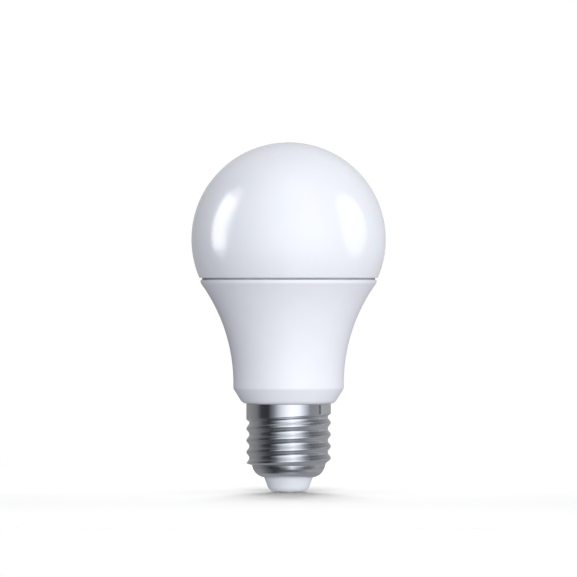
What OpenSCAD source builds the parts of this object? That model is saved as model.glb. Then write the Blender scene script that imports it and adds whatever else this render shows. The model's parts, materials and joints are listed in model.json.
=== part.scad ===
// A60 LED lamp on an E27 screw cap, with a radio-controlled driver board inside.
// Origin: centre of the underside of the centre contact, where the lamp ends.
// +Z runs up the lamp's axis to the top of the globe. Millimetres throughout.

/* [Globe] */
// Outer diameter of the globe
globe_d = 60; // [59:0.5:61]
// Overall length, from the centre contact to the top of the globe
lamp_h = 108; // [107:0.5:110]
// Wall of the opal globe
globe_wall = 1.4; // [1.2:0.1:1.6]

/* [Housing] */
// Diameter of the straight neck below the flare
neck_d = 34.1; // [33.9:0.1:34.5]
// Radius of the arc that the flare follows
flare_r = 52.8; // [52.4:0.2:53.4]
// Height of the housing's rim
rim_z = 65.5; // [65.3:0.1:65.7]
// Gap that shows as a dark seam between the housing and the globe
seam_gap = 0.6; // [0.4:0.1:0.8]
// Wall of the plastic skin
skin_t = 1.2; // [1:0.1:1.3]
// Wall of the aluminium cup inside it
cup_t = 0.9; // [0.7:0.1:1]

/* [Screw cap] */
// Outer diameter of the screw shell, over its skirt and its thread crests
cap_d = 26.1; // [26.05:0.05:26.4]
// Thread pitch, seven turns to the inch
thread_pitch = 3.629; // [3.629]
// Depth of the rolled thread
thread_depth = 0.88; // [0.8:0.01:0.92]
// Thickness of the plated sheet
sheet_t = 0.3; // [0.25:0.05:0.35]
// Height of the skirt's upper edge
cap_h = 27.3; // [27.2:0.1:27.4]
// Diameter of the centre contact
contact_d = 7.7; // [7.4:0.1:8]

/* [Light engine] */
// Diameter of the aluminium-backed board
led_board_d = 42.8; // [42:0.2:43]
// White emitters of each colour temperature
white_count = 9; // [8:1:9]
// Full-colour emitters
rgb_count = 4; // [2, 4]
// Screws that hold the board down
screw_count = 3; // [3]

/* [Hidden] */

$fn = 96;
gap = 0.05;              // clearance between pieces that are glued or pressed together
far = 200;               // larger than the lamp, for cutting shapes

// Globe
globe_r = globe_d / 2;
globe_z = lamp_h - globe_r;
lip_z = rim_z + seam_gap;            // underside of the globe's lip
lip_round = 0.3;
lip_round_z = lip_z + lip_round;
lip_round_x = sqrt(pow(globe_r - lip_round, 2) - pow(globe_z - lip_round_z, 2));
lip_meet_z = globe_z - (globe_z - lip_round_z) * globe_r / (globe_r - lip_round);
plug_r = 23.9;                       // plug that goes down inside the housing
plug_t = 1.3;
plug_low = 62;
bead_out_r = 26.3;                   // outside of the silicone bead, the floor of the seam
snap_z = 62.9;
snap_r = 0.35;

// Housing
neck_r = neck_d / 2;
flare_z = 33.5;                      // where the straight neck meets the flare
flare_x = neck_r + flare_r;
rim_low = rim_z - 0.9;               // the rim is a short upright band
rim_r = flare_at(rim_low);
ledge_z = 64.8;                      // inside the rim, under the silicone bead
collar_z = 32;                       // upper edge of the chamfer over the cap
collar_low = cap_h + 0.1;
collar_slope = 0.62;                 // how fast the chamfer narrows as it goes down
collar_round = 2.3;
collar_r = neck_r - collar_slope * (collar_z - collar_low);
cap_r = cap_d / 2;
tail_r = cap_r - sheet_t - gap;      // part of the neck inside the skirt
tail_low_r = 11.5;                   // part of the neck inside the thread
tail_step_z = 25;
tail_low = 9.6;
bore_r = 10.3;
bore_top_r = 11;
notch_w = 1.8;                       // notch for the neutral wire
notch_h = 4;

// Heat sink and light engine
plate_low = 57.6;
plate_t = 2;
plate_hole_r = 16;
cup_top = 61.5;
paste_t = 0.1;
led_z = plate_low + plate_t + paste_t;
led_board_t = 1;
led_top = led_z + led_board_t;
screw_ring_r = 18.3;
screw_phase = 30;
screw_r = 1.2;
screw_len = 5;
white_ring_r = 14.6;
rgb_ring_r = 9.4;
slot_size = [17, 4];                 // slot that the radio board passes through
slot_y = 1;

// Driver board, upright in the neck and the cup
board_y = -3;                        // its mid-plane
board_t = 1.6;
board_front = board_y - board_t / 2;
board_back = board_y + board_t / 2;
board_low = 10;
board_step = 31;
board_top = 56;
board_half = 9.1;
board_wide_half = 12.6;
lift = 0.1;                          // height of a component over its board
lead_r = 0.3;
lead_hole_r = 0.4;

// Plugs and pins
header_pitch = 2.54;
header_columns = 3;
header_xs = [for (i = [0 : header_columns - 1]) (i - (header_columns - 1) / 2) * header_pitch];
header_low = 50.9;
header_h = 4;
header_pins_at = [                   // for each row: its distance along Y and its height at the board
    [-5.6, header_low + 3],
    [-5.6 - header_pitch, header_low + 1]
];
wifi_w = 15;
wifi_t = 0.8;
wifi_low = 53;
wifi_top = 71;
wifi_pin_pitch = 2;
wifi_pin_count = 6;
wifi_pin_z = 55.3;
shield_low = 57;

// Through-hole parts on the driver board: the place of each pair of leads, and their spacing
film_at = [0, 12.2];
choke_at = [0, 25];
bulk_at = [0, 39];
output_at = [-7, 48.3];
inductor_at = [7, 48.3];
varistor_at = [3.4, 20];
fuse_at = [-6.2, 17];
fuse_reach = 6;
trafo_at = [0, 39];
trafo_pin_reach = 6.1;
PAIRS = [
    [film_at, 7.5], [choke_at, 5], [bulk_at, 5], [output_at, 3.5], [inductor_at, 5], [varistor_at, 5]
];

// Control points of the two wires in the cap
LIVE_ROUTE = [[0, 0, 7.05], [0, 0, 9.3], [-6.2, -5.8, 6.2], [-6.2, -5.8, 10.6]];
NEUTRAL_ROUTE = [[0.6, -5.2, 12.6], [0.6, -5.2, 7], [6.4, -1, 7.2], [11.2, 0, 11]];

// Screw thread
thread_root_r = cap_r - 0.02 - thread_depth;
thread_sides = 40;
thread_rows = 36;
thread_low = 7.9;
thread_high = 24.9;
skirt_low = 24.6;                    // where the thread's sheet meets the plain skirt
runout_z = 21.7;                     // the last groove runs out into the skirt from here, on the -X side
runout_h = 0.9;
runout_rise = 1.8;                   // how much higher that is on the +X side
foot_low = 8.25;                     // the shoulder widens to the thread's root from here
foot_high = 9.1;                     // up to here, on the -X side
foot_rise = 1.2;
first_crest_h = 0.55;                // height in which the lowest turn reaches its full depth
crest_low_z = 8.7;                   // lowest crest, on the -X side
shoulder_r = 4.4;                    // arc that closes the shell below the thread
shoulder_x = 7;
shoulder_z = 8.9;
shoulder_top = 8.2;
eyelet_r = 7.65;                     // hole in the shell's end, filled by the insulator

// Insulator and contact
nose_top_r = 7.5;
nose_top_z = 4.4;
nose_r = 5.85;                       // where its cone would meet its underside, but for the rounding
nose_low = 0.25;
nose_round = 2.2;
contact_r = contact_d / 2;
stem_r = 1.1;
stem_top = 7;

// ---------------------------------------------------------------- curves

// Radius of the housing's flare at a height
function flare_at(z, inset = 0) = flare_x - sqrt(pow(flare_r + inset, 2) - pow(z - flare_z, 2));

// 0 below a, 1 above b, smooth between
function ease(x, a, b) = let (t = max(0, min(1, (x - a) / (b - a)))) t * t * (3 - 2 * t);

// One thread turn: 1 on the crest, 0 in the root, with the crest narrower than the root
function ridge(turns) = pow(0.5 + 0.5 * cos(360 * turns), 1.25);

// Outer radius of the screw shell at an angle and a height
function thread_r(angle, z) =
    let (
        side = 0.5 + 0.5 * cos(angle),
        foot_r = shoulder_x + shoulder_r - 0.18,
        out_z = runout_z + runout_rise * side,
        out = ease(z, out_z, out_z + runout_h),
        root = foot_r + (thread_root_r - foot_r) * ease(z, foot_low, foot_high + foot_rise * side),
        base = root + (cap_r - 0.07 - root) * out,
        height = thread_depth * ease(z, foot_low, foot_low + first_crest_h) * (1 - out)
    )
    base + height * ridge((z - crest_low_z) / thread_pitch - (angle - 180) / 360);

// ---------------------------------------------------------------- shared shapes

// A flat ring about the axis
module ring(outer, inner, low, high) {
    rotate_extrude() translate([inner, low]) square([outer - inner, high - low]);
}

// A block centred on x and y, with its underside at z
module block(size, at) {
    translate([at.x - size.x / 2, at.y - size.y / 2, at.z]) cube(size);
}

// A round bar along Y, from y0 to y1
module bar_y(r, x, z, y0, y1) {
    translate([x, y0, z]) rotate([-90, 0, 0]) cylinder(r = r, h = y1 - y0, $fn = 48);
}

// Children copied round the axis
module around(count, radius, phase = 0) {
    for (i = [0 : count - 1]) rotate([0, 0, phase + 360 * i / count]) translate([radius, 0, 0]) children();
}

// Half profile below the flare's arc, set in from it, between two heights
module flare_area(inset, low, high) {
    difference() {
        translate([0, low]) square([flare_x, high - low]);
        translate([flare_x, flare_z]) circle(r = flare_r + inset, $fn = 360);
    }
}

// Half profile of a cone that narrows downwards and rounds into its flat underside
module foot_area(top_r, top_z, low_r, low_z, fillet) {
    turn = atan((top_r - low_r) / (top_z - low_z));
    centre = [low_r - fillet * tan((90 - turn) / 2), low_z + fillet];
    steps = 8;
    rounding = [
        for (i = [0 : steps])
            let (angle = -turn - (90 - turn) * i / steps)
            centre + fillet * [cos(angle), sin(angle)]
    ];
    polygon(concat([[0, top_z], [top_r, top_z]], rounding, [[0, low_z]]));
}

// Both leads of a part that stands on the driver board's back or front
module lead_pair(pair, y0, y1, r = lead_r) {
    for (side = [-1, 1]) bar_y(r, pair[0].x + side * pair[1] / 2, pair[0].y, y0, y1);
}

// A round wire along a smooth curve through four control points
function curve_point(p, t) =
    pow(1 - t, 3) * p[0] + 3 * pow(1 - t, 2) * t * p[1] + 3 * (1 - t) * t * t * p[2] + pow(t, 3) * p[3];
function unit(v) = v / norm(v);

module wire(p, r, rings = 20, sides = 10) {
    points = [
        for (i = [0 : rings])
            let (
                t = i / rings,
                along = unit(curve_point(p, t + 0.01) - curve_point(p, t - 0.01)),
                across = unit(cross(along, [0, 1, 0.01])),
                up = cross(across, along)
            )
            for (j = [0 : sides - 1])
                curve_point(p, t) + r * (cos(360 * j / sides) * across + sin(360 * j / sides) * up)
    ];
    sides_faces = [
        for (i = [0 : rings - 1], j = [0 : sides - 1])
            let (a = i * sides + j, b = i * sides + (j + 1) % sides)
            each [[a, b, a + sides], [b, b + sides, a + sides]]
    ];
    first_end = [for (j = [sides - 1 : -1 : 0]) j];
    last_end = [for (j = [0 : sides - 1]) rings * sides + j];
    polyhedron(points = points, faces = concat(sides_faces, [first_end, last_end]), convexity = 4);
}

// ---------------------------------------------------------------- casing

// Opal globe with its lip and plug, moulded in one
module diffuser() {
    color("white") rotate_extrude($fn = 180) {
        difference() {
            translate([0, globe_z]) circle(r = globe_r, $fn = 360);
            translate([0, globe_z]) circle(r = globe_r - globe_wall, $fn = 360);
            translate([-far, -far]) square([far, 2 * far]);
            translate([-far / 2, lip_meet_z + 0.02 - far]) square([far, far]);
        }
        translate([lip_round_x, lip_round_z]) circle(r = lip_round, $fn = 48);
        translate([plug_r - plug_t, lip_z]) square([lip_round_x - plug_r + plug_t, globe_wall]);
        translate([plug_r - plug_t, plug_low]) square([plug_t, lip_z - plug_low + 0.5]);
        translate([plug_r, snap_z]) circle(r = snap_r, $fn = 32);
    }
}

// Bead of silicone between the globe's lip and the housing's ledge
module seam_adhesive() {
    color("dimgray") ring(bead_out_r, plug_r + 0.4, ledge_z, lip_z);
}

// Plastic skin with the rim, flare, collar and the neck that goes into the cap
module housing() {
    color("whitesmoke") difference() {
        union() {
            translate([0, 0, rim_low]) cylinder(r = rim_r, h = rim_z - rim_low, $fn = 180);
            rotate_extrude($fn = 180) flare_area(0, flare_z, rim_low);
            translate([0, 0, collar_z]) cylinder(r = neck_r, h = flare_z - collar_z, $fn = 180);
            rotate_extrude($fn = 180) foot_area(neck_r, collar_z, collar_r, collar_low, collar_round);
            translate([0, 0, tail_step_z]) cylinder(r = tail_r, h = collar_low + 1 - tail_step_z, $fn = 180);
            translate([0, 0, tail_low]) cylinder(r = tail_low_r, h = tail_step_z + 1 - tail_low, $fn = 180);
        }
        housing_void();
        translate([tail_low_r - 2, -notch_w / 2, tail_low - 1]) cube([3, notch_w, notch_h + 1]);
    }
}

// Everything hollow inside the housing, from the rim down to the mouth of the neck
module housing_void() {
    floor_z = collar_low + 1.8;
    wall_r = neck_r - skin_t;
    translate([0, 0, ledge_z]) cylinder(r = bead_out_r + 0.1, h = far);
    translate([0, 0, cup_top - 0.2]) cylinder(r = plug_r + 0.2, h = far);
    rotate_extrude() translate([plug_r + 0.2, snap_z]) circle(r = snap_r, $fn = 32);
    rotate_extrude($fn = 180) flare_area(skin_t, flare_z, cup_top);
    translate([0, 0, collar_z + 0.2]) cylinder(r = wall_r, h = flare_z - collar_z - 0.2);
    translate([0, 0, floor_z]) cylinder(r1 = wall_r - 2, r2 = wall_r, h = collar_z + 0.2 - floor_z);
    translate([0, 0, tail_step_z]) cylinder(r = bore_top_r, h = far / 10);
    cylinder(r = bore_r, h = tail_step_z + 1);
}

// Aluminium cup inside the skin, with the plate that the LED board is screwed to
module heat_sink() {
    color("silver") difference() {
        rotate_extrude($fn = 180) difference() {
            flare_area(skin_t + gap, flare_z + 0.1, cup_top);
            difference() {
                flare_area(skin_t + gap + cup_t, flare_z, far / 2);
                translate([plate_hole_r, plate_low]) square([far, plate_t]);
            }
        }
        around(screw_count, screw_ring_r, screw_phase)
            translate([0, 0, plate_low - 1]) cylinder(r = screw_r + gap, h = plate_t + 2, $fn = 32);
    }
}

// Thermal compound between the plate and the LED board
module thermal_paste() {
    color("lightgray") difference() {
        ring(led_board_d / 2 - 0.4, plate_hole_r + 0.4, led_z - paste_t, led_z);
        around(screw_count, screw_ring_r, screw_phase)
            translate([0, 0, led_z - 1]) cylinder(r = screw_r + 0.6, h = 2, $fn = 32);
    }
}

// ---------------------------------------------------------------- light engine

// Angle of one white emitter: warm and cool ones take turns round the ring
function white_phase(warm) = warm ? 0 : 180 / white_count;

// Round aluminium-backed board with its slot, screw holes and pin holes
module led_board() {
    color("ivory") difference() {
        translate([0, 0, led_z]) cylinder(r = led_board_d / 2, h = led_board_t);
        block([slot_size.x, slot_size.y, 3], [0, slot_y, led_z - 1]);
        around(screw_count, screw_ring_r, screw_phase)
            translate([0, 0, led_z - 1]) cylinder(r = screw_r + 0.2, h = 3, $fn = 32);
        for (x = header_xs, pin = header_pins_at)
            translate([x, pin[0], led_z - 1]) cylinder(r = lead_hole_r, h = 3, $fn = 24);
    }
}

// Pan-head screws with a cross recess
module board_screws() {
    head_r = 2.2;
    head_h = 1.4;
    color("darkgray") around(screw_count, screw_ring_r, screw_phase) difference() {
        union() {
            translate([0, 0, led_top + 0.02]) cylinder(r1 = head_r, r2 = head_r - 0.4, h = head_h, $fn = 48);
            translate([0, 0, led_top - screw_len + 0.5]) cylinder(r = screw_r, h = screw_len, $fn = 32);
        }
        for (turn = [0, 90]) rotate([0, 0, turn])
            block([2.4, 0.5, 1.2], [0, 0, led_top + head_h - 0.7]);
    }
}

// Moulded package of a surface-mount emitter, with the well for its resin
module emitter(size, well_r) {
    translate([0, 0, led_top + 0.02]) difference() {
        translate([-size.x / 2, -size.y / 2, 0]) cube(size);
        translate([0, 0, size.z - 0.4]) cylinder(r = well_r, h = 1, $fn = 48);
    }
}

// Resin that fills an emitter's well
module emitter_fill(size, well_r) {
    translate([0, 0, led_top + size.z - 0.36]) cylinder(r = well_r - 0.03, h = 0.34, $fn = 48);
}

white_size = [3.5, 2.8, 0.7];
white_well = 1.1;
rgb_size = [4.6, 4.6, 1.5];
rgb_well = 1.8;

module warm_white_leds() {
    color("linen") around(white_count, white_ring_r, white_phase(true)) emitter(white_size, white_well);
}

module cool_white_leds() {
    color("white") around(white_count, white_ring_r, white_phase(false)) emitter(white_size, white_well);
}

module warm_phosphor() {
    color("orange") around(white_count, white_ring_r, white_phase(true))
        emitter_fill(white_size, white_well);
}

module cool_phosphor() {
    color("yellow") around(white_count, white_ring_r, white_phase(false))
        emitter_fill(white_size, white_well);
}

module rgb_leds() {
    color("white") around(rgb_count, rgb_ring_r, 45) emitter(rgb_size, rgb_well);
}

module rgb_lenses() {
    color("lightblue") around(rgb_count, rgb_ring_r, 45) emitter_fill(rgb_size, rgb_well);
}

// Plastic block that carries the pins from the driver board to the LED board
module header_block() {
    size = [header_columns * header_pitch, 5.5, header_h];
    color("dimgray") difference() {
        block(size, [0, board_front - lift - size.y / 2, header_low]);
        for (x = header_xs, pin = header_pins_at) {
            translate([x, pin[0], pin[1]]) cylinder(r = lead_hole_r, h = header_h, $fn = 24);
            bar_y(lead_hole_r, x, pin[1], pin[0] - lead_hole_r, 0);
        }
    }
}

// Right-angle pins: through the driver board, up through the LED board
module header_pins() {
    color("gold") for (x = header_xs, pin = header_pins_at) {
        bar_y(lead_r, x, pin[1], pin[0], board_back + 0.9);
        translate([x, pin[0], pin[1]]) cylinder(r = lead_r, h = led_top + 0.6 - pin[1], $fn = 48);
    }
}

// ---------------------------------------------------------------- driver board

// Stepped glass-fibre board with a hole for every lead
module driver_board() {
    color("seagreen") difference() {
        union() {
            block([2 * board_half, board_t, board_step - board_low + 1], [0, board_y, board_low]);
            block([2 * board_wide_half, board_t, board_top - board_step], [0, board_y, board_step]);
        }
        for (pair = PAIRS) lead_pair(pair, board_front - 1, board_back + 1, lead_hole_r);
        for (end = [-1, 1])
            bar_y(lead_hole_r, fuse_at.x, fuse_at.y + end * fuse_reach, board_front - 1, board_back + 1);
        for (at = trafo_pins()) bar_y(lead_hole_r, at.x, at.y, board_front - 1, board_back + 1);
        for (x = header_xs, pin = header_pins_at)
            bar_y(lead_hole_r, x, pin[1], board_front - 1, board_back + 1);
    }
}

function wifi_pin_x(i) = (i - (wifi_pin_count - 1) / 2) * wifi_pin_pitch;
function trafo_pins() = [for (x = [-2.5, 0, 2.5], side = [-1, 1]) trafo_at + [x, side * trafo_pin_reach]];

// Aluminium-can electrolytic capacitor, standing on the board's back
module can_capacitor(pair, r, length) {
    base = board_back + lift;
    difference() {
        bar_y(r, pair[0].x, pair[0].y, base, base + length);
        translate([pair[0].x, base + 1.8, pair[0].y]) rotate([-90, 0, 0])
            rotate_extrude() translate([r + 0.25, 0]) circle(r = 0.6, $fn = 32);
    }
    lead_pair(pair, board_front - 0.9, base + 0.5);
}

module bulk_capacitor() {
    color("darkslateblue") can_capacitor(PAIRS[2], 5, 12.6);
}

module output_capacitor() {
    color("darkslategray") can_capacitor(PAIRS[3], 4, 10.8);
}

// Boxed film capacitor across the mains input
module film_capacitor() {
    color("goldenrod") {
        block([10, 5, 8], [film_at.x, board_back + lift + 2.5, film_at.y - 1.2]);
        lead_pair(PAIRS[0], board_front - 0.9, board_back + 1);
    }
}

// Ferrite bobbin of a wound part: two flanges on a post, standing on the board's back
module drum(at, r, length, post_r, flange) {
    base = board_back + lift;
    bar_y(post_r, at.x, at.y, base, base + length);
    bar_y(r, at.x, at.y, base, base + flange);
    bar_y(r, at.x, at.y, base + length - flange, base + length);
}

// Coil on a drum, clear of its post and flanges
module drum_coil(at, r, length, post_r, flange) {
    base = board_back + lift;
    difference() {
        bar_y(r, at.x, at.y, base + flange + gap, base + length - flange - gap);
        bar_y(post_r + gap, at.x, at.y, base, base + length);
    }
}

module choke_core() {
    color("dimgray") difference() {
        drum(choke_at, 4, 7.2, 2, 1.2);
        lead_pair(PAIRS[1], -far / 10, far / 10, lead_hole_r);
    }
}

module choke_winding() {
    color("sienna") {
        drum_coil(choke_at, 3.4, 7.2, 2, 1.2);
        lead_pair(PAIRS[1], board_front - 0.9, board_back + lift + 1.4);
    }
}

module inductor_core() {
    color("dimgray") difference() {
        drum(inductor_at, 4, 6, 2, 1.1);
        lead_pair(PAIRS[4], -far / 10, far / 10, lead_hole_r);
    }
}

module inductor_winding() {
    color("chocolate") {
        drum_coil(inductor_at, 3.4, 6, 2, 1.1);
        lead_pair(PAIRS[4], board_front - 0.9, board_back + lift + 1.3);
    }
}

// Transformer on the board's front: bobbin, winding and the ferrite frame round them
trafo_flange = 8.4;      // width of the bobbin's flanges
trafo_tall = 7.6;        // and their depth
trafo_post = 3;          // width of the core's middle leg
trafo_core_d = 3.2;
trafo_foot = 1.4;        // feet that hold the pins and lift the winding off the board
trafo_base = board_front - lift;
trafo_mid_y = trafo_base - trafo_foot - trafo_tall / 2;

module trafo_box(size) {
    block(size, [trafo_at.x, trafo_mid_y, trafo_at.y - size.z / 2]);
}

module transformer_core() {
    color("dimgray") difference() {
        trafo_box([11.6, trafo_core_d, 13]);
        difference() {
            trafo_box([trafo_flange + 0.4, trafo_core_d + 1, 9.4]);
            trafo_box([trafo_post, trafo_core_d, 20]);
        }
    }
}

module transformer_bobbin() {
    foot = [trafo_flange + 2, 1.3, 2];
    color("black") difference() {
        union() {
            trafo_box([trafo_post + 1.6, trafo_core_d + 1.8, 9.2]);
            for (end = [-1, 1]) {
                translate([0, 0, end * 4.2]) trafo_box([trafo_flange, trafo_tall, 0.8]);
                block(
                    foot,
                    [trafo_at.x, trafo_base - foot.y / 2, trafo_at.y + end * trafo_pin_reach - foot.z / 2]
                );
                block([4, trafo_foot, 2.4], [trafo_at.x, trafo_base - 0.8, trafo_at.y + end * 5 - 1.2]);
            }
        }
        trafo_box([trafo_post + 0.1, trafo_core_d + 0.1, 20]);
        for (at = trafo_pins()) bar_y(lead_hole_r, at.x, at.y, trafo_base - 1, 0);
    }
}

module transformer_winding() {
    color("khaki") difference() {
        trafo_box([trafo_flange - 0.8, trafo_tall - 0.8, 7.4]);
        trafo_box([trafo_post + 1.7, trafo_core_d + 1.9, 9]);
    }
}

module transformer_pins() {
    color("silver") for (at = trafo_pins()) bar_y(lead_r, at.x, at.y, trafo_base - 0.9, board_back + 0.9);
}

// Surface-mount package on the board's front, with its legs above and below, or turned to the sides
module chip(size, at, legs, leg_pitch, turn = 0) {
    leg = [0.4, 0.5, 1.1];
    translate([at.x, board_front - 0.05, at.y]) rotate([0, turn, 0]) {
        block([size.x, size.z, size.y], [0, -lift - size.z / 2, -size.y / 2]);
        for (side = [-1, 1], i = [0 : legs - 1])
            block(leg, [(i - (legs - 1) / 2) * leg_pitch, -leg.y / 2, side * (size.y + 0.7) / 2 - leg.z / 2]);
    }
}

module bridge_rectifier() {
    color("black") chip([4.7, 3.6, 1.6], [0, 28.95], 2, 2.5);
}

module driver_ic() {
    color("black") chip([4.4, 3.9, 1.5], [0, 48.5], 4, 1.1, 90);
}

module led_driver_ics() {
    color("black") for (z = [36, 42.6]) chip([4.9, 3.9, 1.5], [9.3, z], 4, 1.27);
}

module diodes() {
    color("black") for (x = [-7.8, -11], z = [35.5, 42.5]) chip([2.6, 4.2, 2], [x, z], 1, 1);
}

// Row of two-terminal chips on the board's front
module chip_row(size, count, start, step) {
    for (i = [0 : count - 1])
        block(
            [size.x, size.z, size.y],
            [
                start.x + i * step.x,
                board_front - 0.05 - size.z / 2,
                start.y + i * step.y - size.y / 2
            ]
        );
}

module chip_resistors() {
    size = [1.25, 2, 0.55];
    color("darkslategray") {
        chip_row(size, 3, [-8, 27.4], [1.9, 0]);
        chip_row(size, 3, [-11.6, 46.8], [0, 3]);
        chip_row(size, 3, [7.4, 53.4], [1.8, 0]);
    }
}

module chip_capacitors() {
    size = [1.25, 2, 0.9];
    color("tan") {
        chip_row(size, 3, [4.2, 27.4], [1.9, 0]);
        chip_row(size, 2, [11.7, 46.8], [0, 3]);
        chip_row(size, 2, [-9, 53.4], [1.8, 0]);
    }
}

// Wire-wound resistor that also acts as the fuse, lying along the board's front
module fuse_resistor() {
    body_y = board_front - 2;
    color("palegreen") {
        translate([fuse_at.x, body_y, fuse_at.y - 4.5]) cylinder(r = 1.6, h = 9, $fn = 48);
        translate([fuse_at.x, body_y, fuse_at.y - fuse_reach])
            cylinder(r = lead_r, h = 2 * fuse_reach, $fn = 24);
        for (end = [-1, 1])
            bar_y(lead_r, fuse_at.x, fuse_at.y + end * fuse_reach, body_y, board_back + 0.9);
    }
}

// Round surge absorber on two leads
module varistor() {
    color("royalblue") {
        bar_y(3.5, varistor_at.x, varistor_at.y, board_front - 3.4, board_front - lift);
        lead_pair(PAIRS[5], board_front - 1, board_back + 0.9);
    }
}

// Fillet of solder round a lead, on the far side of the board from its part
module solder_fillet(x, z, face, out) {
    translate([x, face, z]) rotate([out > 0 ? -90 : 90, 0, 0]) translate([0, 0, 0.02]) difference() {
        cylinder(r1 = 0.95, r2 = 0.5, h = 0.8, $fn = 32);
        translate([0, 0, -1]) cylinder(r = lead_r + 0.02, h = 3, $fn = 24);
    }
}

module solder_joints() {
    color("silver") {
        for (pair = [for (i = [0 : 4]) PAIRS[i]], side = [-1, 1])
            solder_fillet(pair[0].x + side * pair[1] / 2, pair[0].y, board_front, -1);
        for (side = [-1, 1])
            solder_fillet(varistor_at.x + side * 2.5, varistor_at.y, board_back, 1);
        for (end = [-1, 1])
            solder_fillet(fuse_at.x, fuse_at.y + end * fuse_reach, board_back, 1);
        for (at = trafo_pins()) solder_fillet(at.x, at.y, board_back, 1);
        for (x = header_xs, pin = header_pins_at) solder_fillet(x, pin[1], board_back, 1);
    }
}

// ---------------------------------------------------------------- radio module

module wifi_board() {
    color("darkgreen") difference() {
        block([wifi_w, wifi_t, wifi_top - wifi_low], [0, 0, wifi_low]);
        for (i = [0 : wifi_pin_count - 1]) bar_y(lead_hole_r, wifi_pin_x(i), wifi_pin_z, -2, 2);
    }
}

module wifi_chip() {
    color("black") translate([-2.5, wifi_t / 2 + 0.02, shield_low + 1.6]) cube([5, 0.8, 5]);
}

// Drawn can over the radio chip, open towards the board
module wifi_shield() {
    size = [12, 1.9, 8.4];
    wall = 0.2;
    color("silver") translate([-size.x / 2, wifi_t / 2 + 0.02, shield_low]) difference() {
        cube(size);
        translate([wall, -wall, wall]) cube([size.x - 2 * wall, size.y, size.z - 2 * wall]);
    }
}

// Folded copper track of the antenna, on the end that stands above the LED board
module wifi_antenna() {
    track = 0.6;
    folds = 5;
    run = 2;
    low = wifi_top - 4.6;
    reach = 3.6;
    color("peru") translate([-folds * run / 2, wifi_t / 2 + 0.12, low]) rotate([90, 0, 0])
        linear_extrude(height = 0.1) {
            for (i = [0 : folds]) translate([i * run, 0]) square([track, reach]);
            for (i = [0 : folds - 1])
                translate([i * run, i % 2 == 0 ? reach - track : 0]) square([run + track, track]);
            translate([folds * run, -0.8]) square([track, 1]);
        }
}

module wifi_pins() {
    color("gold") for (i = [0 : wifi_pin_count - 1])
        bar_y(lead_r, wifi_pin_x(i), wifi_pin_z, board_back + 0.02, wifi_t / 2 + 0.6);
}

// ---------------------------------------------------------------- screw cap

// Insulated lead from the centre contact to the fuse resistor's side of the board
module live_wire() {
    color("firebrick") wire(LIVE_ROUTE, 0.65);
}

// Insulated lead from the board to the screw shell, through the notch in the neck
module neutral_wire() {
    color("ghostwhite") wire(NEUTRAL_ROUTE, 0.65);
}

// Rolled and plated sheet: a plain skirt, the thread and the shoulder that closes on the insulator
module screw_shell() {
    color("lightsteelblue") {
        ring(cap_r, cap_r - sheet_t, skirt_low, cap_h);
        rotate_extrude($fn = 180) difference() {
            translate([shoulder_x, shoulder_z]) circle(r = shoulder_r, $fn = 180);
            translate([shoulder_x, shoulder_z]) circle(r = shoulder_r - sheet_t, $fn = 180);
            translate([eyelet_r - far, -far]) square([far, 2 * far]);
            translate([0, shoulder_top]) square([far, far]);
        }
        thread_tube();
    }
}

// Sheet of the thread: a closed tube whose two ends lie inside the skirt and the shoulder
module thread_tube() {
    inset = 0.15;                    // the tube's ends are thinner than the sheet they join
    function wall_at(z) =
        sheet_t - inset * (1 - ease(z, thread_low, shoulder_top) * (1 - ease(z, skirt_low - 0.3, skirt_low)));
    step = (thread_high - foot_low) / (thread_rows - 1);
    function row_z(i) = i == 0 ? thread_low : foot_low + step * (i - 1);
    function row(z, inner) = [
        for (j = [0 : thread_sides - 1])
            let (angle = 360 * j / thread_sides, r = thread_r(angle, z) - (inner ? wall_at(z) : 0))
            [r * cos(angle), r * sin(angle), z]
    ];
    count = (thread_rows + 1) * thread_sides;
    points = concat(
        [for (i = [0 : thread_rows]) each row(row_z(i), false)],
        [for (i = [0 : thread_rows]) each row(row_z(i), true)]
    );
    function quad(a, b, c, d) = [[a, b, c], [a, c, d]];
    faces = [
        for (j = [0 : thread_sides - 1])
            let (k = (j + 1) % thread_sides, top = thread_rows * thread_sides)
            each concat(
                [
                    for (i = [0 : thread_rows - 1])
                        let (a = i * thread_sides, b = a + thread_sides)
                        each concat(
                            quad(a + k, a + j, b + j, b + k),
                            quad(count + a + j, count + a + k, count + b + k, count + b + j)
                        )
                ],
                quad(j, k, count + k, count + j),
                quad(top + k, top + j, count + top + j, count + top + k)
            )
    ];
    polyhedron(points = points, faces = faces, convexity = 6);
}

// White plastic nose that fills the shell's end and carries the centre contact
module cap_insulator() {
    flange_r = 8.4;
    flange_z = 5.15;
    top_z = 6.6;
    pocket_r = 5;
    color("whitesmoke") difference() {
        union() {
            rotate_extrude() foot_area(nose_top_r, nose_top_z, nose_r, nose_low, nose_round);
            translate([0, 0, nose_top_z]) cylinder(r = nose_top_r, h = top_z - nose_top_z);
            translate([0, 0, flange_z]) cylinder(r = flange_r, h = top_z - flange_z);
        }
        translate([0, 0, 2.6]) cylinder(r = pocket_r, h = far / 10);
        translate([0, 0, -1]) cylinder(r = stem_r + 0.03, h = far / 10, $fn = 48);
    }
}

// Flat contact with the stem that is pressed into the insulator
module centre_contact() {
    edge = 0.12;
    color("lightgray") {
        rotate_extrude() polygon([
            [0, 0],
            [contact_r - edge, 0],
            [contact_r, edge],
            [contact_r, nose_low - 0.02],
            [0, nose_low - 0.02]
        ]);
        cylinder(r = stem_r, h = stem_top, $fn = 48);
    }
}

// ---------------------------------------------------------------- what is drawn

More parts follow.
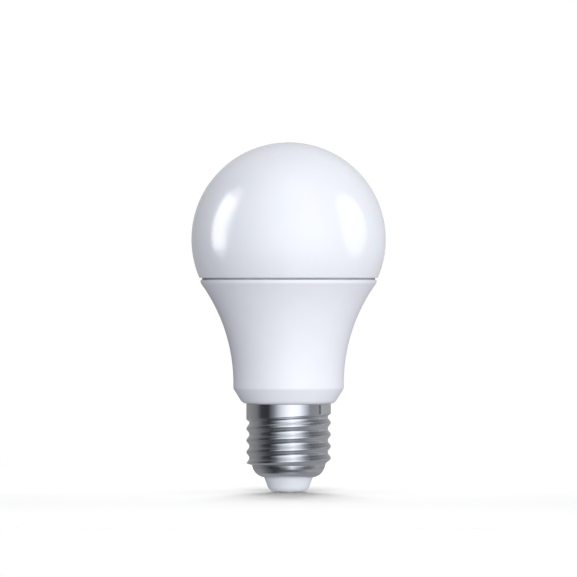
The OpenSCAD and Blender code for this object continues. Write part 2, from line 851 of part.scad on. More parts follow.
diffuser();
seam_adhesive();
housing();
heat_sink();
thermal_paste();
led_board();
board_screws();
warm_white_leds();
cool_white_leds();
warm_phosphor();
cool_phosphor();
rgb_leds();
rgb_lenses();
header_block();
header_pins();
driver_board();
wifi_board();
wifi_chip();
wifi_shield();
wifi_antenna();
wifi_pins();
bulk_capacitor();
output_capacitor();
film_capacitor();
choke_core();
choke_winding();
inductor_core();
inductor_winding();
transformer_core();
transformer_bobbin();
transformer_winding();
transformer_pins();
bridge_rectifier();
fuse_resistor();
varistor();
driver_ic();
led_driver_ics();
diodes();
chip_resistors();
chip_capacitors();
solder_joints();
live_wire();
neutral_wire();
screw_shell();
cap_insulator();
centre_contact();
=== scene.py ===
import json
import math

import bmesh
import bpy
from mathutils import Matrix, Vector


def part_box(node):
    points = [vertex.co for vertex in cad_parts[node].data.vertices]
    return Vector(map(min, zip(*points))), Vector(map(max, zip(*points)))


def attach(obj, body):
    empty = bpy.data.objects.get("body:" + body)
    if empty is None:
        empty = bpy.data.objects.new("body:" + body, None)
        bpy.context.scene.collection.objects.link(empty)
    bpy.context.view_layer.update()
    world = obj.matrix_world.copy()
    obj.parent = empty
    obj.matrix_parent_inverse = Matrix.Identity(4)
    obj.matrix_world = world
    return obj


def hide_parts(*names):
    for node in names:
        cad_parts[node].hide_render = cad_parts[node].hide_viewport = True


# An A60 LED lamp on an E27 cap, standing on its contact. The shapes that show are rebuilt
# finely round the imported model's own dimensions; the parts inside keep their CAD meshes.

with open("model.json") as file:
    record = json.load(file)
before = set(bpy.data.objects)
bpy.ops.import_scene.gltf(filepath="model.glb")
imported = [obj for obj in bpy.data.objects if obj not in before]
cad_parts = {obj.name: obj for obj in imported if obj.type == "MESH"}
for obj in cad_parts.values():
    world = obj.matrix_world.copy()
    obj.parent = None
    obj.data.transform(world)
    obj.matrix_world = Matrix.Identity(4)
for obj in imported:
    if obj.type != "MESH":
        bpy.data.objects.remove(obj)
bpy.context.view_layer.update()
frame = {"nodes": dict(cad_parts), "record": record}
nodes = frame["nodes"]
MM = 0.001


def top(node):
    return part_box(node)[1].z / MM


def low(node):
    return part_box(node)[0].z / MM


def radius(node):
    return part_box(node)[1].x / MM


# ---------------------------------------------------------------- profiles, in mm

def arc(x, z, r, start, end, count):
    """Points on an arc of the half profile, angles in degrees from +X towards +Z."""
    angles = [math.radians(start + (end - start) * i / count) for i in range(count + 1)]
    return [(x + r * math.cos(a), z + r * math.sin(a)) for a in angles]


def rounded(corners, closed=True, count=6):
    """A polyline of (x, z, fillet radius) with each corner turned into an arc."""
    points = []
    total = len(corners)
    for i, (x, z, r) in enumerate(corners):
        here = Vector((x, z))
        if r == 0 or (not closed and i in (0, total - 1)):
            points.append((x, z))
            continue
        before = (Vector(corners[i - 1][:2]) - here).normalized()
        after = (Vector(corners[(i + 1) % total][:2]) - here).normalized()
        half = before.angle(after) / 2
        if half > math.radians(89):
            points.append((x, z))
            continue
        centre = here + (before + after).normalized() * r / math.sin(half)
        first = here + before * r / math.tan(half) - centre
        last = here + after * r / math.tan(half) - centre
        turn = first.angle_signed(last)
        for step in range(count + 1):
            a = -turn * step / count
            points.append((
                centre.x + first.x * math.cos(a) - first.y * math.sin(a),
                centre.y + first.x * math.sin(a) + first.y * math.cos(a),
            ))
    return points


def plain(points):
    """Points that get no fillet, for use among the corners of rounded()."""
    return [(x, z, 0) for x, z in points]


# ---------------------------------------------------------------- meshes

def make(name, verts, faces, sharp=32):
    mesh = bpy.data.meshes.new(name)
    mesh.from_pydata([(x * MM, y * MM, z * MM) for x, y, z in verts], [], faces)
    bm = bmesh.new()
    bm.from_mesh(mesh)
    bmesh.ops.recalc_face_normals(bm, faces=bm.faces)
    bm.to_mesh(mesh)
    bm.free()
    mesh.shade_smooth()
    mesh.set_sharp_from_angle(angle=math.radians(sharp))
    piece = bpy.data.objects.new(name, mesh)
    bpy.context.scene.collection.objects.link(piece)
    return piece


def lathe(name, profile, segments=256, sharp=32):
    """Turns a profile about the axis: a closed loop, or an open line that starts and ends on the axis."""
    verts, faces, rings = [], [], []
    turns = [2 * math.pi * j / segments for j in range(segments)]
    for x, z in profile:
        if x < 1e-6:
            rings.append([len(verts)])
            verts.append((0, 0, z))
        else:
            rings.append(list(range(len(verts), len(verts) + segments)))
            verts += [(x * math.cos(a), x * math.sin(a), z) for a in turns]
    closed = len(rings[0]) > 1 and len(rings[-1]) > 1
    pairs = list(zip(rings, rings[1:])) + ([(rings[-1], rings[0])] if closed else [])
    for a, b in pairs:
        for j in range(segments):
            k = (j + 1) % segments
            if len(a) == 1:
                faces.append((a[0], b[k], b[j]))
            elif len(b) == 1:
                faces.append((a[j], a[k], b[0]))
            else:
                faces.append((a[j], a[k], b[k], b[j]))
    return make(name, verts, faces, sharp)


# ---------------------------------------------------------------- globe

GLOBE_R = radius("diffuser")
GLOBE_Z = top("diffuser") - GLOBE_R
GLOBE_WALL = 1.4
LIP_Z = 66.1                              # underside of the lip, which is the top of the seam
LIP_ROUND = 0.3
LIP_TOP = LIP_Z + GLOBE_WALL
PLUG_R, PLUG_T, PLUG_LOW = 23.9, 1.3, low("diffuser")    # goes down inside the housing's rim
SNAP_Z, SNAP_R = 62.9, 0.35               # ridge round the plug


def globe_profile():
    lip_z = LIP_Z + LIP_ROUND
    lip_x = math.sqrt((GLOBE_R - LIP_ROUND) ** 2 - (GLOBE_Z - lip_z) ** 2)
    meet = math.degrees(math.atan2(lip_z - GLOBE_Z, lip_x))
    inner_r = GLOBE_R - GLOBE_WALL
    plug_x = math.sqrt(inner_r ** 2 - (GLOBE_Z - LIP_TOP) ** 2)
    inner_meet = math.degrees(math.atan2(LIP_TOP - GLOBE_Z, plug_x))
    outer = arc(0, GLOBE_Z, GLOBE_R, 90, meet, 120)
    outer[0] = (0, GLOBE_Z + GLOBE_R)
    lip = arc(lip_x, lip_z, LIP_ROUND, meet, -90, 10)[1:]
    under = rounded(
        [(lip_x, LIP_Z, 0), (PLUG_R, LIP_Z, 0.15)]
        + plain(arc(PLUG_R, SNAP_Z, SNAP_R, 90, -90, 8))
        + [(PLUG_R, PLUG_LOW, 0.35), (PLUG_R - PLUG_T, PLUG_LOW, 0.35), (PLUG_R - PLUG_T, LIP_TOP, 0.3)],
        closed=False, count=3)[1:]
    inner = arc(0, GLOBE_Z, inner_r, inner_meet, 90, 90)
    inner[-1] = (0, GLOBE_Z + inner_r)
    return outer + lip + under + inner


globe = lathe("opal_globe", globe_profile(), segments=320)

# ---------------------------------------------------------------- housing

CAP_R = radius("screw_shell")
CAP_TOP = top("screw_shell")
NECK_R = 17.05
FLARE_R, FLARE_Z = 52.8, 33.5             # arc of the flare, and where it leaves the straight neck
FLARE_X = NECK_R + FLARE_R
SKIN = 1.2
CLEARANCE = 0.2                           # round the globe's plug
RIM_Z = top("housing")
RIM_LOW = RIM_Z - 0.9
LEDGE_Z = 64.8                            # inside the rim, under the silicone bead
GLUE = 0.02                               # gap above and below the bead
BEAD_IN_R, BEAD_OUT_R = 24.3, 26.75
LEDGE_R = BEAD_OUT_R + 0.05
CUP_TOP = 61.3                            # upper edge of the heat sink inside
COLLAR_Z, COLLAR_LOW = 32, CAP_TOP + 0.03
COLLAR_SLOPE = 0.62                       # how fast the chamfer narrows as it goes down
COLLAR_R = NECK_R - COLLAR_SLOPE * (COLLAR_Z - COLLAR_LOW)
COLLAR_INSIDE = COLLAR_LOW + 1.8
TAIL_R, TAIL_LOW_R, TAIL_STEP, TAIL_LOW = 12.7, 11.5, 25, low("housing")    # inside the screw shell
BORE_R, BORE_TOP_R = 10.3, 11


def flare(inset, start, end, count):
    """The flare's arc between two heights, set in from the outer skin."""
    r = FLARE_R + inset
    angles = [math.degrees(math.asin((z - FLARE_Z) / r)) for z in (start, end)]
    return arc(FLARE_X, FLARE_Z, r, 180 - angles[0], 180 - angles[1], count)


def housing_profile():
    rim_r = FLARE_X - math.sqrt(FLARE_R ** 2 - (RIM_LOW - FLARE_Z) ** 2)
    socket_r = PLUG_R + CLEARANCE
    return rounded(
        [(LEDGE_R, RIM_Z, 0.05), (rim_r, RIM_Z, 0.15), (rim_r, RIM_LOW, 1.4)]
        + plain(flare(0, RIM_LOW - 0.6, FLARE_Z, 96))
        + [
            (NECK_R, COLLAR_Z, 1.2), (COLLAR_R, COLLAR_LOW, 2.3), (TAIL_R, COLLAR_LOW, 0.1),
            (TAIL_R, TAIL_STEP, 0.1), (TAIL_LOW_R, TAIL_STEP, 0.1), (TAIL_LOW_R, TAIL_LOW, 0.3),
            (BORE_R, TAIL_LOW, 0.3), (BORE_R, TAIL_STEP, 0.1), (BORE_TOP_R, TAIL_STEP, 0.1),
            (BORE_TOP_R, COLLAR_INSIDE, 0.2), (NECK_R - SKIN - 2, COLLAR_INSIDE, 0.2),
            (NECK_R - SKIN, COLLAR_Z + 0.2, 0.2),
        ]
        + plain(flare(SKIN, FLARE_Z, CUP_TOP, 32))
        + [(socket_r, CUP_TOP, 0)]
        + plain(arc(socket_r, SNAP_Z, SNAP_R, -90, 90, 8))
        + [(socket_r, LEDGE_Z, 0.1), (LEDGE_R, LEDGE_Z, 0.1)])


housing = lathe("moulded_housing", housing_profile())

bead_low, bead_top = LEDGE_Z + GLUE, LIP_Z - GLUE
bead = lathe("silicone_bead", rounded([
    (BEAD_IN_R, bead_low, 0.1), (BEAD_OUT_R, bead_low, 0.1), (BEAD_OUT_R, bead_top, 0.25),
    (BEAD_IN_R, bead_top, 0.1),
]))

# ---------------------------------------------------------------- screw cap

SHEET = 0.3
PITCH = 3.629                             # seven turns to the inch
DEPTH = 0.88
CREST_R = CAP_R - 0.02
ROOT_R = CREST_R - DEPTH
CREST_SHARPNESS = 1.25                    # above 1 the crests are narrower than the roots
THREAD_LOW = 8.2
CREST_LOW = 8.7                           # height of the lowest crest, on the left
# The thread fades into the skirt over RUNOUT_H, and RUNOUT_RISE higher on the right than on the left
RUNOUT_Z, RUNOUT_H, RUNOUT_RISE = 21.7, 0.9, 1.8
SHOULDER_R, SHOULDER_X, SHOULDER_Z = 4.4, 7, 8.9
# At its lower end it grows out of the shoulder, also higher on the right
FOOT_R = SHOULDER_X + SHOULDER_R * math.cos(math.asin((THREAD_LOW - SHOULDER_Z) / SHOULDER_R))
FOOT_LOW, FOOT_HIGH, FOOT_RISE, FIRST_CREST_H = 8.25, 9.1, 1.2, 0.55
EYELET_R = 7.65                           # edge of the shell round the insulator


def ease(x, a, b):
    """Smooth step from 0 at a to 1 at b."""
    t = max(0, min(1, (x - a) / (b - a)))
    return t * t * (3 - 2 * t)


def thread_r(angle, z):
    """Outer radius of the rolled sheet at an angle in degrees and a height."""
    side = 0.5 + 0.5 * math.cos(math.radians(angle))
    out_z = RUNOUT_Z + RUNOUT_RISE * side
    out = ease(z, out_z, out_z + RUNOUT_H)
    root = FOOT_R + (ROOT_R - FOOT_R) * ease(z, FOOT_LOW, FOOT_HIGH + FOOT_RISE * side)
    base = root + (CAP_R - root) * out
    height = DEPTH * ease(z, FOOT_LOW, FOOT_LOW + FIRST_CREST_H) * (1 - out)
    turns = (z - CREST_LOW) / PITCH - (angle - 180) / 360
    return base + height * (0.5 + 0.5 * math.cos(2 * math.pi * turns)) ** CREST_SHARPNESS


def shell_rows():
    """Heights of the shell's rows from the skirt's edge down to the shoulder, each with its radius rule."""
    edge = 0.14                           # rounding of the skirt's edge
    rows = [(z, CAP_R - x) for x, z in [
        (edge - edge * math.sin(a), CAP_TOP - edge + edge * math.cos(a))
        for a in [math.pi / 2 * i / 4 for i in range(5)]]]
    steps = 150
    start, end = CAP_TOP - edge - 0.3, THREAD_LOW
    rows += [(start + (end - start) * i / steps, None) for i in range(steps + 1)]
    return rows


def screw_shell(segments=288):
    """The plated sheet: outside from the skirt's edge to the eyelet, then back up the inside."""
    shoulder = math.degrees(math.acos((EYELET_R - SHOULDER_X) / SHOULDER_R))
    start = math.degrees(math.asin((THREAD_LOW - SHOULDER_Z) / SHOULDER_R))
    outside = shell_rows()
    rows = []
    for z, r in outside:
        rows.append([(r or thread_r(360 * j / segments, z), z) for j in range(segments)])
    for x, z in arc(SHOULDER_X, SHOULDER_Z, SHOULDER_R, start, -shoulder, 24)[1:]:
        rows.append([(x, z)] * segments)
    for x, z in arc(SHOULDER_X, SHOULDER_Z, SHOULDER_R - SHEET, -shoulder, start, 12):
        rows.append([(x, z)] * segments)
    for z, r in reversed(outside[5::2]):
        rows.append([(thread_r(360 * j / segments, z) - SHEET, z) for j in range(segments)])
    rows.append([(CAP_R - SHEET, CAP_TOP)] * segments)
    verts, faces = [], []
    for row in rows:
        for j, (r, z) in enumerate(row):
            a = 2 * math.pi * j / segments
            verts.append((r * math.cos(a), r * math.sin(a), z))
    count = len(rows)
    for i in range(count):
        for j in range(segments):
            k = (j + 1) % segments
            a, b = i * segments, (i + 1) % count * segments
            faces.append((a + j, a + k, b + k, b + j))
    return make("threaded_shell", verts, faces, sharp=40)


shell = screw_shell()

NOSE_TOP_R, NOSE_TOP_Z, NOSE_R, NOSE_LOW = 7.5, 4.4, 5.85, low("cap_insulator")
PLATE_R, PLATE_LOW, PLATE_TOP = 8.4, 5.15, 6.6      # the insulator's plate, held inside the shell
WELL_R, WELL_LOW = 5, 2.6                 # hollow above the contact
STEM_R, STEM_TOP = 1.1, top("centre_contact")       # the contact's rivet
STEM_HOLE_R = STEM_R + 0.03

insulator = lathe("cap_nose", rounded([
    (STEM_HOLE_R, NOSE_LOW, 0), (NOSE_R, NOSE_LOW, 2.2), (NOSE_TOP_R, NOSE_TOP_Z, 0.25),
    (NOSE_TOP_R, PLATE_LOW, 0.05), (PLATE_R, PLATE_LOW, 0.1), (PLATE_R, PLATE_TOP, 0.2),
    (WELL_R, PLATE_TOP, 0.2), (WELL_R, WELL_LOW, 0.3), (STEM_HOLE_R, WELL_LOW, 0),
], count=12), segments=192)

CONTACT_R = radius("centre_contact")
DISC_BEVEL, DISC_LIFT = 0.6, 0.02         # the disc's edge rises a little from its flat
DISC_TOP = NOSE_LOW - 0.02
contact = lathe("end_contact", rounded([
    (0, 0, 0), (CONTACT_R - DISC_BEVEL, 0, 0), (CONTACT_R, DISC_LIFT, 0.08), (CONTACT_R, DISC_TOP, 0.04),
    (STEM_R, DISC_TOP, 0.05), (STEM_R, STEM_TOP, 0.3), (0, STEM_TOP, 0),
], closed=False, count=4), segments=160)

# ---------------------------------------------------------------- materials

CLASSES = {
    "metal": dict(metallic=1, rough=0.28, vary=0.12, grain=900, bump=0.06, stretch=(1, 1, 6)),
    "gloss": dict(metallic=0, rough=0.3, vary=0.08, grain=700, bump=0.05, stretch=(1, 1, 1)),
    "matte": dict(metallic=0, rough=0.62, vary=0.12, grain=1400, bump=0.12, stretch=(1, 1, 1)),
    "resin": dict(metallic=0, rough=0.16, vary=0.06, grain=400, bump=0.03, stretch=(1, 1, 1)),
    "board": dict(metallic=0, rough=0.42, vary=0.15, grain=1000, bump=0.1, stretch=(3, 1, 1)),
}


def duller_band(tree, place, rough, start, end, extra):
    """Adds extra roughness between two heights in mm."""
    split = tree.nodes.new("ShaderNodeSeparateXYZ")
    tree.links.new(place.outputs["Object"], split.inputs["Vector"])
    for height, values in ((start, (0, extra)), (end, (0, -extra))):
        edge = tree.nodes.new("ShaderNodeMapRange")
        edge.inputs["From Min"].default_value = (height - 0.4) * MM
        edge.inputs["From Max"].default_value = (height + 0.4) * MM
        edge.inputs["To Min"].default_value, edge.inputs["To Max"].default_value = values
        tree.links.new(split.outputs["Z"], edge.inputs["Value"])
        total = tree.nodes.new("ShaderNodeMath")
        tree.links.new(rough, total.inputs[0])
        tree.links.new(edge.outputs["Result"], total.inputs[1])
        rough = total.outputs["Value"]
    return rough


def material(slot, colour, kind, tint=0.06, **changes):
    """Principled material with mottled colour and roughness and a fine bump, all from one noise."""
    look = dict(CLASSES[kind], **changes)
    mat = bpy.data.materials.new(slot)
    mat.use_nodes = True
    tree = mat.node_tree
    shader = tree.nodes["Principled BSDF"]
    shader.inputs["Metallic"].default_value = look["metallic"]
    for socket, value in look.get("sockets", {}).items():
        shader.inputs[socket].default_value = value
    place = tree.nodes.new("ShaderNodeTexCoord")
    scale = tree.nodes.new("ShaderNodeMapping")
    scale.inputs["Scale"].default_value = look["stretch"]
    noise = tree.nodes.new("ShaderNodeTexNoise")
    noise.inputs["Scale"].default_value = look["grain"]
    noise.inputs["Detail"].default_value = 6
    broad = tree.nodes.new("ShaderNodeTexNoise")
    broad.inputs["Scale"].default_value = look["grain"] / 12
    broad.inputs["Detail"].default_value = 3
    tree.links.new(place.outputs["Object"], scale.inputs["Vector"])
    tree.links.new(scale.outputs["Vector"], noise.inputs["Vector"])
    tree.links.new(scale.outputs["Vector"], broad.inputs["Vector"])
    ramp = tree.nodes.new("ShaderNodeValToRGB")
    ends = ramp.color_ramp.elements
    ends[0].position, ends[1].position = 0.35, 0.65
    ends[0].color = [c * (1 - tint) for c in colour] + [1]
    ends[1].color = [min(1, c * (1 + tint / 2)) for c in colour] + [1]
    tree.links.new(broad.outputs["Fac"], ramp.inputs["Fac"])
    tree.links.new(ramp.outputs["Color"], shader.inputs["Base Color"])
    spread = tree.nodes.new("ShaderNodeMapRange")
    spread.inputs["To Min"].default_value = look["rough"] - look["vary"] / 2
    spread.inputs["To Max"].default_value = look["rough"] + look["vary"] / 2
    tree.links.new(noise.outputs["Fac"], spread.inputs["Value"])
    rough = spread.outputs["Result"]
    if "band" in look:
        rough = duller_band(tree, place, rough, *look["band"])
    tree.links.new(rough, shader.inputs["Roughness"])
    if "brushed" in look:
        tangent = tree.nodes.new("ShaderNodeTangent")
        tangent.direction_type = "RADIAL"
        tangent.axis = "Z"
        tree.links.new(tangent.outputs["Tangent"], shader.inputs["Tangent"])
        shader.inputs["Anisotropic"].default_value = look["brushed"]
        shader.inputs["Anisotropic Rotation"].default_value = 0.25
    bump = tree.nodes.new("ShaderNodeBump")
    bump.inputs["Strength"].default_value = look["bump"]
    bump.inputs["Distance"].default_value = look.get("relief", 0.00005)
    tree.links.new(noise.outputs["Fac"], bump.inputs["Height"])
    tree.links.new(bump.outputs["Normal"], shader.inputs["Normal"])
    return mat


LOOKS = {
    "opal_diffuser": ((0.87, 0.875, 0.885), "gloss", dict(
        rough=0.17, vary=0.03, grain=260, bump=0.02, tint=0.006,
        sockets={"Subsurface Weight": 0.12, "Subsurface Scale": 0.002, "IOR": 1.5})),
    "silicone": ((0.5, 0.505, 0.53), "matte", dict(tint=0.1)),
    "housing_plastic": ((0.86, 0.865, 0.88), "gloss", dict(
        rough=0.36, vary=0.06, grain=2600, bump=0.08, tint=0.008)),
    "nickel_plate": ((0.72, 0.745, 0.795), "metal", dict(
        rough=0.14, vary=0.06, grain=420, bump=0.05, tint=0.05, stretch=(0.25, 0.25, 3),
        band=(8.9, 22.4, 0.03), brushed=0.6)),
    "insulator_plastic": ((0.81, 0.83, 0.845), "gloss", dict(rough=0.32, grain=1600, tint=0.01)),
    "contact_metal": ((0.66, 0.66, 0.68), "metal", dict(rough=0.3, stretch=(8, 1, 1))),
    "aluminium": ((0.76, 0.77, 0.79), "metal", dict(rough=0.38)),
    "thermal_compound": ((0.7, 0.71, 0.72), "matte", {}),
    "white_mask": ((0.9, 0.9, 0.88), "board", {}),
    "screw_steel": ((0.55, 0.55, 0.57), "metal", {}),
    "emitter_body": ((0.88, 0.87, 0.84), "gloss", {}),
    "phosphor_warm": ((0.93, 0.52, 0.08), "resin", {}),
    "phosphor_cool": ((0.9, 0.78, 0.12), "resin", {}),
    "clear_resin": ((0.75, 0.8, 0.85), "resin", dict(sockets={"Transmission Weight": 0.6})),
    "black_plastic": ((0.03, 0.03, 0.033), "matte", {}),
    "gold_pin": ((0.83, 0.62, 0.26), "metal", dict(rough=0.2)),
    "green_board": ((0.03, 0.2, 0.08), "board", {}),
    "blue_board": ((0.02, 0.07, 0.24), "board", {}),
    "tin_can": ((0.7, 0.71, 0.72), "metal", dict(rough=0.34)),
    "copper": ((0.72, 0.31, 0.14), "metal", dict(
        rough=0.25, grain=2200, bump=0.4, stretch=(0.1, 1, 1))),
    "capacitor_sleeve": ((0.03, 0.035, 0.1), "gloss", {}),
    "film_box": ((0.7, 0.48, 0.06), "gloss", {}),
    "ferrite": ((0.06, 0.06, 0.065), "matte", {}),
    "winding_tape": ((0.75, 0.56, 0.1), "gloss", {}),
    "resistor_body": ((0.2, 0.36, 0.24), "matte", {}),
    "varistor_body": ((0.03, 0.09, 0.4), "gloss", {}),
    "chip_ceramic": ((0.5, 0.38, 0.25), "matte", {}),
    "solder": ((0.72, 0.73, 0.74), "metal", dict(rough=0.22, stretch=(1, 1, 1))),
    "wire_red": ((0.5, 0.02, 0.02), "gloss", {}),
    "wire_white": ((0.82, 0.82, 0.82), "gloss", {}),
}
finishes = {
    slot: material(slot, colour, kind, **changes) for slot, (colour, kind, changes) in LOOKS.items()}


def dress(piece, slot):
    piece.data.materials.clear()
    piece.data.materials.append(finishes[slot])


for piece, node, slot in [
    (globe, "diffuser", "opal_diffuser"),
    (bead, "seam_adhesive", "silicone"),
    (housing, "housing", "housing_plastic"),
    (shell, "screw_shell", "nickel_plate"),
    (insulator, "cap_insulator", "insulator_plastic"),
    (contact, "centre_contact", "contact_metal"),
]:
    dress(piece, slot)
    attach(piece, "root")
    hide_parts(node)

# The parts inside keep their meshes, and each material slot gets the finish of its name
REPLACED = {"diffuser", "seam_adhesive", "housing", "screw_shell", "cap_insulator", "centre_contact"}
for part in frame["record"]["subparts"]:
    if part["node"] not in REPLACED:
        for own in nodes[part["node"]].material_slots:
            own.material = finishes[own.material.name.split(".")[0]]

# ---------------------------------------------------------------- floor, light and camera

scene = bpy.context.scene
scene.view_settings.view_transform = "Standard"

world = bpy.data.worlds.new("studio")
scene.world = world
world.use_nodes = True
world.cycles.sampling_method = "NONE"
tree = world.node_tree
tree.nodes.clear()


def node(kind, **settings):
    made = tree.nodes.new(kind)
    for key, value in settings.items():
        setattr(made, key, value)
    return made


def link(a, b):
    tree.links.new(a, b)


def maths(operation, a, b=0.0):
    made = node("ShaderNodeMath", operation=operation)
    for socket, value in zip(made.inputs, (a, b)):
        if isinstance(value, (int, float)):
            socket.default_value = value
        else:
            link(value, socket)
    return made.outputs[0]


def ramp(fac, stops, mode="EASE"):
    made = node("ShaderNodeValToRGB")
    made.color_ramp.interpolation = mode
    points = made.color_ramp.elements
    while len(points) > 1:
        points.remove(points[-1])
    for i, (at, colour) in enumerate(stops):
        stop = points[0] if i == 0 else points.new(at)
        stop.position = at
        stop.color = (*colour, 1)
    link(fac, made.inputs["Fac"])
    return made.outputs["Color"]


def mix(fac, a, b):
    made = node("ShaderNodeMix", data_type="RGBA")
    link(fac, made.inputs[0])
    for socket, value in ((made.inputs[6], a), (made.inputs[7], b)):
        if isinstance(value, tuple):
            socket.default_value = (*value, 1)
        else:
            link(value, socket)
    return made.outputs[2]


direction = node("ShaderNodeTexCoord").outputs["Generated"]
split = node("ShaderNodeSeparateXYZ")
link(direction, split.inputs[0])
x, y, z = split.outputs
# The cards are laid out by the slope that mirrors them to the front: twice the angle of the
# half-way direction, round and up. Azimuth grows to the right; both angles become 0..1.
halfway = node("ShaderNodeVectorMath", operation="ADD")
link(direction, halfway.inputs[0])
halfway.inputs[1].default_value = (0, -1, 0)
slope = node("ShaderNodeVectorMath", operation="NORMALIZE")
link(halfway.outputs[0], slope.inputs[0])
turned = node("ShaderNodeSeparateXYZ")
link(slope.outputs[0], turned.inputs[0])
facing = maths("ARCTAN2", turned.outputs[0], maths("MULTIPLY", turned.outputs[1], -1))
azimuth = maths("ADD", maths("DIVIDE", facing, math.pi), 0.5)
elevation = maths("ADD", maths("DIVIDE", maths("ARCSINE", turned.outputs[2]), math.pi / 2), 0.5)


def at(azimuth_degrees):
    return azimuth_degrees / 360 + 0.5


def up(elevation_degrees):
    return elevation_degrees / 180 + 0.5


def grey(value, blue=1.0):
    return (value, value * (1 + (blue - 1) * 0.4), value * blue)


# What mirrors at the level of the lamp: upright strips of card round one white panel at the front
strips = ramp(azimuth, [
    (at(-180), grey(0.30)),
    (at(-128), grey(0.30)),
    (at(-99), grey(0.22)),
    (at(-80), grey(0.05, 1.2)),
    (at(-57), grey(0.035, 1.25)),
    (at(-40), grey(0.26, 1.1)),
    (at(-22), grey(0.85, 1.05)),
    (at(-6), grey(1.2, 1.03)),
    (at(10), grey(1.45, 1.01)),
    (at(30), grey(1.3, 1.04)),
    (at(45), grey(0.75, 1.1)),
    (at(61), grey(0.30, 1.1)),
    (at(84), grey(0.32, 1.04)),
    (at(102), grey(0.48)),
    (at(150), grey(0.44)),
    (at(179), grey(0.30)),
], "LINEAR")
# Above the level of the lamp the panel is narrower and a little to the left
upper_strips = ramp(azimuth, [
    (at(-180), grey(0.30)),
    (at(-142), grey(0.34)),
    (at(-106), grey(0.24)),
    (at(-81), grey(0.09, 1.1)),
    (at(-60), grey(0.03, 1.2)),
    (at(-42), grey(0.11, 1.15)),
    (at(-24), grey(0.52, 1.1)),
    (at(-7), grey(0.88, 1.04)),
    (at(10), grey(1.25, 1.02)),
    (at(27), grey(0.80, 1.04)),
    (at(45), grey(0.28, 1.1)),
    (at(64), grey(0.13, 1.1)),
    (at(85), grey(0.18, 1.06)),
    (at(111), grey(0.28)),
    (at(152), grey(0.42)),
    (at(179), grey(0.30)),
], "LINEAR")
# One thin dark strip, seen only in the level skirt
slit = ramp(azimuth, [
    (at(90), (0, 0, 0)), (at(94), (1, 1, 1)), (at(98), (1, 1, 1)), (at(101), (0, 0, 0))], "LINEAR")
level = ramp(elevation, [
    (up(-6), (0, 0, 0)), (up(-3), (1, 1, 1)), (up(3), (1, 1, 1)), (up(6), (0, 0, 0))])
# Further down, a smaller highlight, then a dark card for the shade under the lamp
lower_strips = ramp(azimuth, [
    (at(-180), grey(0.30)),
    (at(-110), grey(0.26)),
    (at(-78), grey(0.12, 1.1)),
    (at(-60), grey(0.04, 1.2)),
    (at(-32), grey(0.05, 1.15)),
    (at(-8), grey(0.28, 1.1)),
    (at(11), grey(0.92, 1.04)),
    (at(29), grey(0.42, 1.04)),
    (at(50), grey(0.15, 1.1)),
    (at(72), grey(0.17, 1.1)),
    (at(98), grey(0.38)),
    (at(179), grey(0.30)),
], "LINEAR")
shade = ramp(azimuth, [
    (at(-110), grey(0.30)),
    (at(-72), grey(0.13, 1.1)),
    (at(-49), grey(0.05, 1.15)),
    (at(-28), grey(0.08, 1.15)),
    (at(12), grey(0.13, 1.1)),
    (at(32), grey(0.19, 1.1)),
    (at(52), grey(0.32)),
    (at(72), grey(0.40)),
], "LINEAR")
# Where each set of strips takes over, by elevation
above = ramp(elevation, [(up(8), (0, 0, 0)), (up(42), (1, 1, 1))])
overhead = ramp(elevation, [(up(70), (0, 0, 0)), (up(89), (1, 1, 1))])
below = ramp(elevation, [(up(-30), (1, 1, 1)), (up(-8), (0, 0, 0))])
shaded = ramp(elevation, [(up(-56), (1, 1, 1)), (up(-36), (0, 0, 0))])
steep = ramp(elevation, [(up(-80), grey(0.35)), (up(-64), (0, 0, 0))])
ground = ramp(elevation, [(up(-90), (1, 1, 1)), (up(-82), (0, 0, 0))])
seen = mix(maths("MULTIPLY", slit, level), strips, grey(0.03))
seen = mix(above, seen, upper_strips)
seen = mix(overhead, seen, grey(0.4, 1.03))
seen = mix(below, seen, lower_strips)
seen = mix(shaded, seen, shade)
seen = mix(steep, seen, upper_strips)
seen = mix(ground, seen, grey(0.33, 1.02))

# Soft light on the body: brighter from the front, the right and a little above
RIGHT, AWAY, ABOVE = 0.34, -0.80, 0.33
FILL_LEVEL, FILL_GAIN = (0.45, 0.468, 0.535), (1.03, 1.035, 1.05)
level_tilt = maths("ADD", maths("MULTIPLY", x, RIGHT), maths("MULTIPLY", y, AWAY))
tilt = maths("ADD", level_tilt, maths("MULTIPLY", z, ABOVE))
fill = node("ShaderNodeCombineColor")
for socket, base, gain in zip(fill.inputs, FILL_LEVEL, FILL_GAIN):
    lit = maths("ADD", maths("MULTIPLY", tilt, gain), base)
    link(maths("MAXIMUM", lit, 0), socket)

path = node("ShaderNodeLightPath")
shown = mix(path.outputs["Is Glossy Ray"], fill.outputs[0], seen)
shown = mix(path.outputs["Is Camera Ray"], shown, (1.0, 1.0, 1.0))
surface = node("ShaderNodeBackground")
link(shown, surface.inputs["Color"])
output = node("ShaderNodeOutputWorld")
link(surface.outputs[0], output.inputs["Surface"])

FLOOR_R = 0.3
mesh = bpy.data.meshes.new("floor")
mesh.from_pydata([
    (FLOOR_R * math.cos(2 * math.pi * i / 96), FLOOR_R * math.sin(2 * math.pi * i / 96), 0)
    for i in range(96)], [], [tuple(range(96))])
floor = bpy.data.objects.new("floor", mesh)
scene.collection.objects.link(floor)
floor_mat = bpy.data.materials.new("floor")
floor_mat.use_nodes = True
floor_shader = floor_mat.node_tree.nodes["Principled BSDF"]
floor_shader.inputs["Base Color"].default_value = (0.1, 0.1, 0.1, 1)
floor_shader.inputs["Roughness"].default_value = 1
floor_shader.inputs["Specular IOR Level"].default_value = 0
mesh.materials.append(floor_mat)
floor.visible_diffuse = False
floor.visible_glossy = False

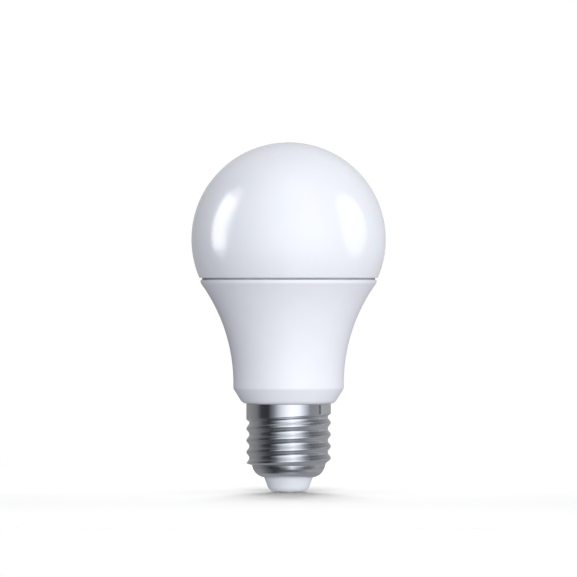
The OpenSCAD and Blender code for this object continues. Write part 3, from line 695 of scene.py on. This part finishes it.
only = {}
for label, targets in (
        ("globe", [globe]), ("floor", [floor]), ("housing", [housing]), ("nose", [insulator]),
        ("cap", [shell, insulator, contact]), ("lamp", [globe, housing, shell, insulator, contact])):
    only[label] = bpy.data.collections.new("lit_" + label)
    for target in targets:
        only[label].objects.link(target)


def panel(name, place, aim, size, radiance, receivers, diffuse=True, shape="RECTANGLE"):
    """A soft box of a given radiance at place, facing aim, that lights only its receivers.

    It lights their surface if diffuse, and is only mirrored in it otherwise.
    """
    light = bpy.data.lights.new(name, "AREA")
    light.shape = shape
    light.size, light.size_y = size
    light.energy = radiance * math.pi * size[0] * size[1]
    rig = bpy.data.objects.new(name, light)
    scene.collection.objects.link(rig)
    rig.location = place
    rig.rotation_euler = (Vector(aim) - Vector(place)).to_track_quat("-Z", "Y").to_euler()
    rig.visible_camera = False
    rig.visible_diffuse = diffuse
    rig.visible_glossy = not diffuse
    rig.visible_transmission = False
    rig.light_linking.receiver_collection = only[receivers]
    return rig


globe_at = Vector((0, 0, GLOBE_Z * MM))
middle = (0, 0, 0.06)
# The globe's two highlights
panel("left_core", (-0.60, -0.005, 0.24), globe_at, (0.25, 0.52), 4.8, "globe", False)
panel("left_halo", (-0.60, -0.02, 0.25), globe_at, (0.36, 0.76), 1.8, "globe", False, "ELLIPSE")
panel("right_strip", (0.60, -0.05, 0.22), globe_at, (0.44, 0.66), 1.7, "globe", False, "ELLIPSE")
# Light from below, as if the floor sent it back up: only the lamp blocks it
bounce = panel("floor_bounce", (0.12, -0.5, -0.42), middle, (0.5, 0.5), 0.5, "housing")
under = panel("under_glow", (0.1, -0.25, -0.5), globe_at, (0.5, 0.5), 0.42, "globe")
nose = panel("nose_glow", (0, -0.03, -0.5), (0, 0, 0), (0.3, 0.3), 1.0, "nose")
for rig in (bounce, under, nose):
    rig.light_linking.blocker_collection = only["lamp"]
# From behind: a faint rim of reflection on the globe, and the light for the lamp's back
panel("rear_fill", (0, 0.6, 0.1), middle, (3, 2), 0.25, "globe", False)
panel("rear_glow", (0, 1.6, 0.06), middle, (0.6, 0.6), 15, "lamp")
# The floor's own light: an arch from front to back, as shares of its brightness by angle from the
# front. The whole lamp shades the tile overhead, and only the cap shades the others, which keeps
# the shadow compact.
ARCH_R, ARCH_WIDE, ARCH_STEP, FLOOR_GLOW = 0.8, 0.36, 0.1, 31
OVERHEAD = 90
for degrees, share in (
        (20, 0.11), (29, 0.12), (40, 0.04), (75, 0.06), (OVERHEAD, 0.07), (105, 0.06), (138, 0.05),
        (149, 0.15), (157, 0.18), (163, 0.16)):
    a = math.radians(degrees)
    place = (0, -ARCH_R * math.cos(a), ARCH_R * math.sin(a))
    spread = ARCH_WIDE * ARCH_STEP / ARCH_R ** 2 * math.sin(a)
    glow = FLOOR_GLOW * share / spread
    tile = panel(f"arch_{degrees}", place, (0, 0, 0), (ARCH_WIDE, ARCH_STEP), glow, "floor")
    tile.light_linking.blocker_collection = only["lamp" if degrees == OVERHEAD else "cap"]

# A long lens, a little above the lamp's middle and level
camera = bpy.data.cameras.new("camera")
camera.sensor_width = 36
camera.lens = 400
camera.clip_end = 20
eye = bpy.data.objects.new("camera", camera)
scene.collection.objects.link(eye)
eye.location = (-0.00002, -1.98, 0.06286)
eye.rotation_euler = (math.pi / 2, 0, 0)
scene.camera = eye
